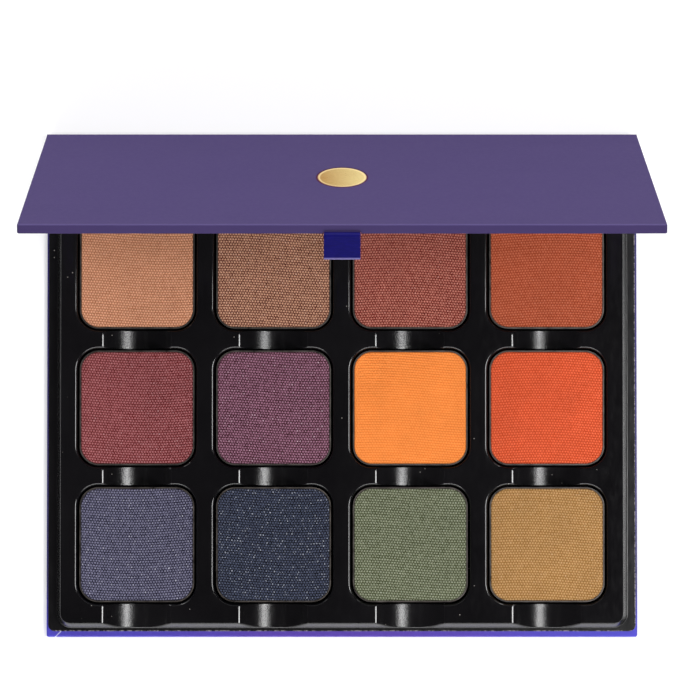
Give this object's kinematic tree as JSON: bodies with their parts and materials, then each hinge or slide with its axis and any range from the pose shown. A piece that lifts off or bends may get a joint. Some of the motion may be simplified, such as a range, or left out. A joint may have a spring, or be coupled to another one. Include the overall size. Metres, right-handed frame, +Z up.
{
  "type": "eyeshadow palette",
  "caption": "Book-style eyeshadow palette: wrapped board lid on a paper-folded spine, black formed tray with finger scoops, square tin pans of pressed powder, ribbon pull.",
  "frame": {"origin": "centre of the base panel's outer (bottom) face", "axes": "+X along the palette's width, +Y to the spine at the back, +Z up out of the pans"},
  "size_m": [0.1344, 0.1144, 0.1057],
  "materials": {
    "grey_board": "matte",
    "base_paper": "satin",
    "lid_paper": "matte",
    "black_paper": "matte",
    "tray_plastic": "gloss",
    "foam_tape": "matte",
    "magnet": "satin",
    "tinplate": "satin",
    "glue": "satin",
    "gold_foil": "gloss",
    "ribbon": "satin",
    "powder_01": "matte",
    "powder_02": "matte",
    "powder_03": "matte",
    "powder_04": "matte",
    "powder_05": "matte",
    "powder_06": "matte",
    "powder_07": "matte",
    "powder_08": "matte",
    "powder_09": "matte",
    "powder_10": "matte",
    "powder_11": "matte",
    "powder_12": "matte"
  },
  "bodies": {
    "base": {"base_board": "grey_board", "base_wrap": "base_paper", "pan_tray": "tray_plastic", "tray_tape": "foam_tape", "tray_magnets": "magnet", "pan_glue_dots": "glue", "base_crease": "base_paper"},
    "spine": {"spine_board": "grey_board", "spine_wrap": "lid_paper", "spine_liner": "black_paper", "lid_crease": "lid_paper"},
    "lid": {"lid_board": "grey_board", "lid_wrap": "lid_paper", "lid_liner": "black_paper", "lid_magnets": "magnet", "lid_emblem": "gold_foil", "pull_ribbon": "ribbon"},
    "pan_01": {"pan_01": "tinplate", "powder_01": "powder_01"},
    "pan_02": {"pan_02": "tinplate", "powder_02": "powder_02"},
    "pan_03": {"pan_03": "tinplate", "powder_03": "powder_03"},
    "pan_04": {"pan_04": "tinplate", "powder_04": "powder_04"},
    "pan_05": {"pan_05": "tinplate", "powder_05": "powder_05"},
    "pan_06": {"pan_06": "tinplate", "powder_06": "powder_06"},
    "pan_07": {"pan_07": "tinplate", "powder_07": "powder_07"},
    "pan_08": {"pan_08": "tinplate", "powder_08": "powder_08"},
    "pan_09": {"pan_09": "tinplate", "powder_09": "powder_09"},
    "pan_10": {"pan_10": "tinplate", "powder_10": "powder_10"},
    "pan_11": {"pan_11": "tinplate", "powder_11": "powder_11"},
    "pan_12": {"pan_12": "tinplate", "powder_12": "powder_12"}
  },
  "joints": [
    {"name": "spine_hinge", "type": "hinge", "parent": "base", "child": "spine", "pos_m": [0, 0.05367, 0.00058], "axis": [1, 0, 0], "range_deg": [-15, 75], "deforming": ["base_crease"]},
    {"name": "lid_hinge", "type": "hinge", "parent": "spine", "child": "lid", "pos_m": [0, 0.06221, 0.00287], "axis": [-1, 0, 0], "range_deg": [0, 90], "deforming": ["lid_crease"]},
    {"name": "pan_01_lift", "type": "slide", "parent": "base", "child": "pan_01", "axis": [0, 0, 1], "range_m": [0, 0.008]},
    {"name": "pan_02_lift", "type": "slide", "parent": "base", "child": "pan_02", "axis": [0, 0, 1], "range_m": [0, 0.008]},
    {"name": "pan_03_lift", "type": "slide", "parent": "base", "child": "pan_03", "axis": [0, 0, 1], "range_m": [0, 0.008]},
    {"name": "pan_04_lift", "type": "slide", "parent": "base", "child": "pan_04", "axis": [0, 0, 1], "range_m": [0, 0.008]},
    {"name": "pan_05_lift", "type": "slide", "parent": "base", "child": "pan_05", "axis": [0, 0, 1], "range_m": [0, 0.008]},
    {"name": "pan_06_lift", "type": "slide", "parent": "base", "child": "pan_06", "axis": [0, 0, 1], "range_m": [0, 0.008]},
    {"name": "pan_07_lift", "type": "slide", "parent": "base", "child": "pan_07", "axis": [0, 0, 1], "range_m": [0, 0.008]},
    {"name": "pan_08_lift", "type": "slide", "parent": "base", "child": "pan_08", "axis": [0, 0, 1], "range_m": [0, 0.008]},
    {"name": "pan_09_lift", "type": "slide", "parent": "base", "child": "pan_09", "axis": [0, 0, 1], "range_m": [0, 0.008]},
    {"name": "pan_10_lift", "type": "slide", "parent": "base", "child": "pan_10", "axis": [0, 0, 1], "range_m": [0, 0.008]},
    {"name": "pan_11_lift", "type": "slide", "parent": "base", "child": "pan_11", "axis": [0, 0, 1], "range_m": [0, 0.008]},
    {"name": "pan_12_lift", "type": "slide", "parent": "base", "child": "pan_12", "axis": [0, 0, 1], "range_m": [0, 0.008]}
  ]
}
